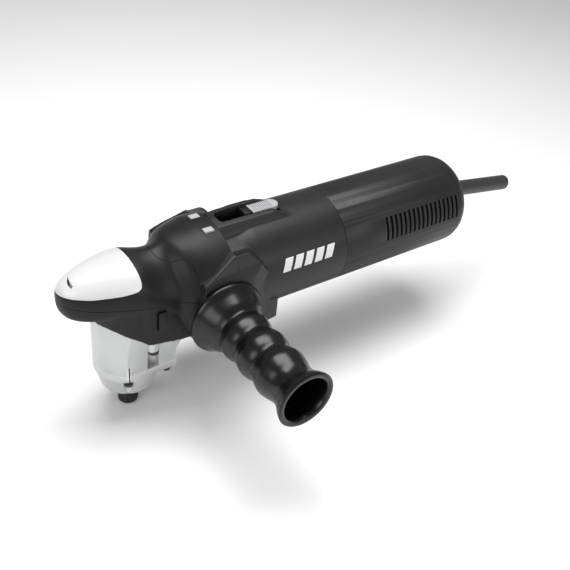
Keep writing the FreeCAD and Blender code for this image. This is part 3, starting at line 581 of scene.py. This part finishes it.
def tidySplit(piece, width):
    # boolean slivers go before the cut edges are rounded
    pickOnly(piece)
    editMode()
    faceOut()
    bpy.ops.mesh.select_all(action="SELECT")
    bpy.ops.mesh.remove_doubles(threshold=0.00015)
    bpy.ops.mesh.dissolve_degenerate(threshold=0.00005)
    objectMode()
    roundEdges(piece, width, 2, 42)


def grown(outline, by):
    return [(x + by if x > -50 else x, z - by) for x, z in outline]


def makeHead():
    form = makeHeadForm()
    cap = keepInside(copyOf(form, "whiteCap"), alongY(head["capSide"]))
    rest = cutAway(form, alongY(grown(head["capSide"], head["gap"])))
    rearPlan = head["tongue"] + [(120, 60), (120, -60)] + [(x, -y) for x, y in reversed(head["tongue"][1:])]
    collar = keepInside(copyOf(rest, "collarShell"), alongZ(rearPlan, 0, 140))
    below = [(20, 60), (30, 89.5)] + flank["brow"][1:] + [(70, 0), (20, 0)]
    shoulder = keepInside(copyOf(collar, "shoulderShell"), alongY(below))
    cutAway(collar, alongY([(x, z + head["gap"]) for x, z in below]))
    wider = [(x - head["gap"], y) for x, y in rearPlan]
    shroud = cutAway(rest, alongZ(wider, 0, 140))
    low = head["bandSeam"] + [(70, 0), (-60, 0)]
    lower = keepInside(copyOf(shroud, "lowerShell"), alongY(low))
    upper = cutAway(shroud, alongY([(x, z + head["gap"]) for x, z in low]))
    upper.name = "upperShell"
    (lockX0, _, lockZ0), (lockX1, _, lockZ1) = cornersOf("lock_button")
    room = head["buttonGap"]
    cutAway(lower, block("tool", (lockX0 - room, -60, lockZ0 - room), (lockX1 + room, -20, lockZ1 + room)))
    cutAway(collar, *[block("tool", near, far) for near, far in markWindows()])
    for piece in (cap, upper, lower, collar, shoulder):
        tidySplit(piece, head["edge"])
    cutAway(cap, alongZ(head["slit"], 92, 112))
    finishPiece(cap, "machine", ["head_cap"], whiteGloss)
    finishPiece(upper, "machine", ["upper_shroud"], softPlastic)
    finishPiece(lower, "machine", ["lower_shroud"], softPlastic)
    finishPiece(collar, "machine", ["collar_cover"], softPlastic)
    finishPiece(shoulder, "machine", ["collar_cover"], barrelPlastic)


def markWindows():
    # room in the collar for the two grey marks
    (x0, _, _), (x1, outer, top) = cornersOf("marks")
    inner, room, depth = outer - head["markWidth"], head["markGap"], head["markDepth"]
    return [((x0 - room, y0 - room, top - depth), (x1 + room, y1 + room, top + depth))
            for y0, y1 in ((inner, outer), (-outer, -inner))]


makeHead()
print("head made")


# housings: waisted front housing with its switch console, and the plain motor barrel behind it

barrel = {
    "start": 62.15, "end": seamX - 0.25, "steps": 128, "voxel": 0.8, "soft": 5, "bore": 32.4,
    "trueFrom": 92.0,
    "core": [(62.15, 33.3), (74, 33.3), (78, 33.8), (82, 34.6), (86, 35.1), (200, 35.1)],
    "upper": [(0, 106), (12, 106.5), (17, 104.3), (22, 101.8), (27, 102.8), (31, 105.3), (35.6, 98.5),
              (38.0, 91.5), (38.4, 88), (38.4, 50), (36.0, 43.5), (30.0, 41.0), (0, 41)],
    "plan": [(40, 0), (40, 38.4), (73, 38.4), (77, 37.6), (81, 35.8), (88, 33.6), (100, 32.0), (100, 0)],
    "brow": [(66, 105.4), (73, 105.2), (78, 101.0), (84, 92.0), (92, 80.0)],
    "trueBand": (33.0, 36.2), "consoleEnd": 126, "consoleHalf": 19, "edge": 0.4,
}
console = {
    "half": [(8.6, 117.6), (9.4, 114.0), (11.0, 109.5), (14.0, 104.0), (14.0, 98.0)],
    "side": [(58.0, 115.4), (66, 115.9), (80, 116.9), (92, 117.1), (101, 116.3), (108, 114.0), (114, 110.9),
             (122, 109.0)],
    "pocketHalf": 5.25, "pocketFront": 66.0, "pocketRound": 2.6, "pocketEnd": 115.6, "pocketFloor": 0.3,
    "neckSlot": ((82, -3.0, 90), (107, 3.0, 118)),
}


def makeFrontHousing():
    core = [(x, curveThrough(barrel["core"], x)) for x in (62.15, 70, 75, 78, 80, 82, 84, 86, 88, 100, 130)]
    outline = [(60, 0), (60, 33.3)] + core[1:] + [(158, 35.1), (158, 0)]
    body = turnedAlongX("frontShell", outline, barrel["steps"])
    side = alongX(bothSides(barrel["upper"]), 60.0, 100.0)
    keepInside(side, alongZ(mirroredPlan(barrel["plan"]), 30, 120))
    cutAway(side, alongY([(50, 105.6)] + barrel["brow"] + [(100, 74), (110, 74), (110, 130), (50, 130)]))
    top = alongX(bothSides(console["half"])[:-1], 60.0, 122.0)
    cutAway(top, alongY(console["side"] + [(130, 109), (130, 140), (50, 140), (50, 115.4)]))
    merge(body, side, top)
    remould(body, barrel["voxel"], barrel["soft"])
    trueBarrel(body)
    cutAway(body, block("tool", (50, -60, 0), (barrel["start"], 60, 140)),
            block("tool", (barrel["end"], -60, 0), (170, 60, 140)),
            rod("tool", (50, 0, motorZ), (170, 0, motorZ), barrel["bore"], 96),
            pocketTool(), block("tool", *console["neckSlot"]))
    tidySplit(body, barrel["edge"])
    finishPiece(body, "machine", ["front_housing"], barrelPlastic)


def mirroredPlan(half):
    # plan given on the +Y side, mirrored to close it
    return half + [(x, -y) for x, y in reversed(half) if abs(y) > 0.01]


def trueBarrel(body):
    # behind the waist the barrel is a true cylinder again
    for point in body.data.vertices:
        x, y, z = [value / mm for value in point.co]
        reach = math.hypot(y, z - motorZ)
        onConsole = x < barrel["consoleEnd"] and abs(y) < barrel["consoleHalf"] and z > motorZ
        nearest, farthest = barrel["trueBand"]
        if x > barrel["trueFrom"] and nearest < reach < farthest and not onConsole:
            scale = barrelR / reach
            point.co.y = y * scale * mm
            point.co.z = (motorZ + (z - motorZ) * scale) * mm


def pocketTool():
    # long pocket with a round front end, its floor just above the bottom of the carrier
    half, bulge = console["pocketHalf"], console["pocketRound"]
    outline = []
    for i in range(13):
        turn = math.pi / 2 + math.pi * i / 12
        outline.append((console["pocketFront"] + bulge + bulge * math.cos(turn), half * math.sin(turn)))
    floorZ = cornersOf("slider_carrier")[0][2] + console["pocketFloor"]
    return alongZ(outline + [(console["pocketEnd"], -half), (console["pocketEnd"], half)], floorZ, 130)


def cadCopy(node, name):
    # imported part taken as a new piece, its flat faces cleaned of loose triangles
    twin = copyOf(frame["nodes"][node], name)
    twin.hide_render = False
    twin.hide_viewport = False
    for key in list(twin.keys()):
        del twin[key]
    twin.parent = None
    pickOnly(twin)
    editMode()
    bpy.ops.mesh.select_all(action="SELECT")
    bpy.ops.mesh.remove_doubles(threshold=0.000002)
    bpy.ops.mesh.dissolve_limited(angle_limit=math.radians(0.6))
    objectMode()
    return twin


def makeRearHousing():
    shell = cadCopy("rear_motor_housing", "rearShell")
    roundEdges(shell, 0.3, 2, 40)
    finishPiece(shell, "machine", ["rear_motor_housing"], barrelPlastic)


printBars = {"count": 5, "start": 99.5, "width": 6.4, "gap": 2.5, "slant": 3.4, "low": 81.6, "high": 90.6,
             "film": 0.1, "ends": (95, 150), "steps": 360}


def makePrint():
    # generic row of slanted bars printed on the barrel
    inner, outer = barrelR - printBars["film"], barrelR + printBars["film"]
    front, back = printBars["ends"]
    film = [(front, inner), (front, outer), (back, outer), (back, inner), (front, inner)]
    sheet = turnedAlongX("slantedBars", film, printBars["steps"])
    low, high, lean, width = [printBars[key] for key in ("low", "high", "slant", "width")]
    bars = None
    for i in range(printBars["count"]):
        x = printBars["start"] + i * (width + printBars["gap"])
        outline = [(x, -60, low), (x + width, -60, low), (x + width + lean, -60, high), (x + lean, -60, high)]
        one = prism("tool", outline, (0, 45, 0))
        bars = one if bars is None else joined(bars, one)
    keepInside(sheet, bars)
    finishPiece(sheet, "machine", [], printWhite)


def joined(piece, *others):
    bpy.ops.object.select_all(action="DESELECT")
    for one in (piece, *others):
        one.select_set(True)
    bpy.context.view_layer.objects.active = piece
    bpy.ops.object.join()
    return piece


makeFrontHousing()
makeRearHousing()
makePrint()
print("housings made")


# gear case of cast aluminium, its lower cover and the screws

casting = {"facetPoint": (-15.1, -17.4, 42.1), "facetNormal": (-0.645, -0.69, 0.20), "edge": 0.7,
           "coverEdge": 0.9, "screwEdge": 0.35, "lugR": 4.4, "screwX": 8.7, "screwY": 20.4,
           "lugZ": (42.55, 53.0)}


def halfSpace(point, normal, size=60.0):
    turn = Vector(normal).to_track_quat("Z", "Y").to_euler()
    centre = Vector(point) + Vector(normal).normalized() * size / 2
    bpy.ops.object.select_all(action="DESELECT")
    bpy.ops.mesh.primitive_cube_add(size=size * mm, location=centre * mm, rotation=turn)
    tool = bpy.context.object
    bpy.ops.object.transform_apply(location=True, rotation=True, scale=True)
    return tool


def makeGearCase():
    case = cadCopy("gear_housing", "gearCase")
    for side in (-1, 1):
        x, y, z = casting["facetPoint"]
        nx, ny, nz = casting["facetNormal"]
        cutAway(case, halfSpace((x, -side * y, z), (nx, -side * ny, nz)))
        lugX, lugY = casting["screwX"], side * casting["screwY"]
        merge(case, rod("lug", (lugX, lugY, casting["lugZ"][0]), (lugX, lugY, casting["lugZ"][1]),
                        casting["lugR"]))
    roundEdges(case, casting["edge"], 3, 28)
    finishPiece(case, "machine", ["gear_housing"], castMetal)
    cover = cadCopy("bearing_cover", "gearCover")
    roundEdges(cover, casting["coverEdge"], 3, 28)
    finishPiece(cover, "machine", ["bearing_cover"], castMetal)
    for node, name in (("cover_screws", "coverScrews"), ("side_screws", "sideScrews")):
        screws = cadCopy(node, name)
        roundEdges(screws, casting["screwEdge"], 2, 40)
        finishPiece(screws, "machine", [node], blackSteel)


thread = {"pitch": 2.0, "depth": 1.15, "crest": 7.0, "length": 16.0, "rings": 97, "sides": 64, "chamfer": 1.6,
          "flatShare": 1.6, "flankSlope": 4.4}


def threadSection(ring, angle):
    z = -thread["length"] * ring / (thread["rings"] - 1)
    turn = (z / thread["pitch"] - angle / (2 * math.pi)) % 1.0
    ridge = min(1.0, max(0.0, thread["flatShare"] - abs(turn - 0.5) * thread["flankSlope"]))
    r = thread["crest"] - thread["depth"] * (1 - ridge)
    fromEnd = thread["length"] + z
    r = min(r, thread["crest"] - thread["chamfer"] + fromEnd)
    return (r * math.cos(angle), r * math.sin(angle), z)


def makeSpindle():
    shaft = cadCopy("spindle", "spindleShaft")
    cutAway(shaft, block("tool", (-20, -20, -40), (20, 20, 0.0)))
    roundEdges(shaft, 0.3, 2, 40)
    screwEnd = loft("spindleThread", thread["rings"], thread["sides"], threadSection)
    joined(shaft, screwEnd)
    finishPiece(shaft, "spindle", ["spindle"], blackSteel, sharp=50)


makeGearCase()
makeSpindle()
print("gear case made")


# side handle: one turned grip with a flange, three finger waves and a hollow end

grip = {
    "profile": [(-39.0, 25.2), (-39.5, 26.1), (-40.6, 26.5), (-41.8, 26.3), (-43.2, 25.0), (-45.5, 23.2),
                (-49.0, 21.4), (-52.6, 19.6), (-55.2, 17.6), (-57.2, 16.4), (-60.0, 16.9), (-63.5, 17.7),
                (-68.0, 16.9), (-72.6, 15.5), (-77.5, 16.8), (-82.0, 17.7), (-87.0, 16.9), (-91.5, 15.5),
                (-96.5, 16.8), (-101.0, 17.6), (-106.5, 16.7), (-111.5, 15.4), (-115.5, 15.3), (-119.5, 16.4),
                (-123.0, 18.3), (-125.6, 19.4), (-127.4, 19.8)],
    "rim": [(-128.2, 19.2), (-128.4, 18.2), (-128.0, 16.4), (-127.2, 15.7)],
    "bore": [(-122.0, 15.4), (-100.0, 14.6), (-70.0, 13.4), (-63.0, 12.8), (-62.0, 11.6), (-62.0, 0.0)],
    "socket": [(-54.2, 0.0), (-54.2, 5.1), (-50.1, 5.1), (-50.1, 8.1), (-45.9, 8.1), (-45.9, 5.1),
               (-39.0, 5.1)],
    "rings": 90, "steps": 128,
}


def makeGrip():
    falling = [(-y, r) for y, r in grip["profile"]]
    first, last = falling[0][0], falling[-1][0]
    outside = []
    for i in range(grip["rings"] + 1):
        y = first + (last - first) * i / grip["rings"]
        outside.append((-y, curveThrough(falling, y)))
    line = grip["socket"] + outside + grip["rim"] + grip["bore"]
    piece = turned("sideGrip", [(handleX, y, handleZ + r) for y, r in line], (handleX, 0, handleZ), (0, 1, 0),
                   grip["steps"])
    finishPiece(piece, "handle_grip", ["side_handle_grip"], gripPlastic, sharp=40)


makeGrip()
print("handle made")


# small pieces: thumb pad, slider, lock button, cord sleeve, speed dial

smallPieces = [   # node, name, body, paint, edge
    ("slider_pad", "thumbPad", "switch_slider", paleGrey, 0.2),
    ("slider_carrier", "thumbCarrier", "switch_slider", softPlastic, 0.4),
    ("lock_button", "lockButton", "lock_button", softPlastic, 0.5),
    ("cord_sleeve", "cordSleeve", "machine", cordRubber, 0.9),
    ("speed_dial", "speedDial", "speed_dial", softPlastic, 0.25),
]


def makeSmallPieces():
    for node, name, body, paint, edge in smallPieces:
        piece = cadCopy(node, name)
        roundEdges(piece, edge, 2, 40)
        finishPiece(piece, body, [node], paint)


makeSmallPieces()
print("small pieces made")


setCamera()
setLights()
setFloor()
print("studio ready")

bpy.ops.object.select_all(action="DESELECT")
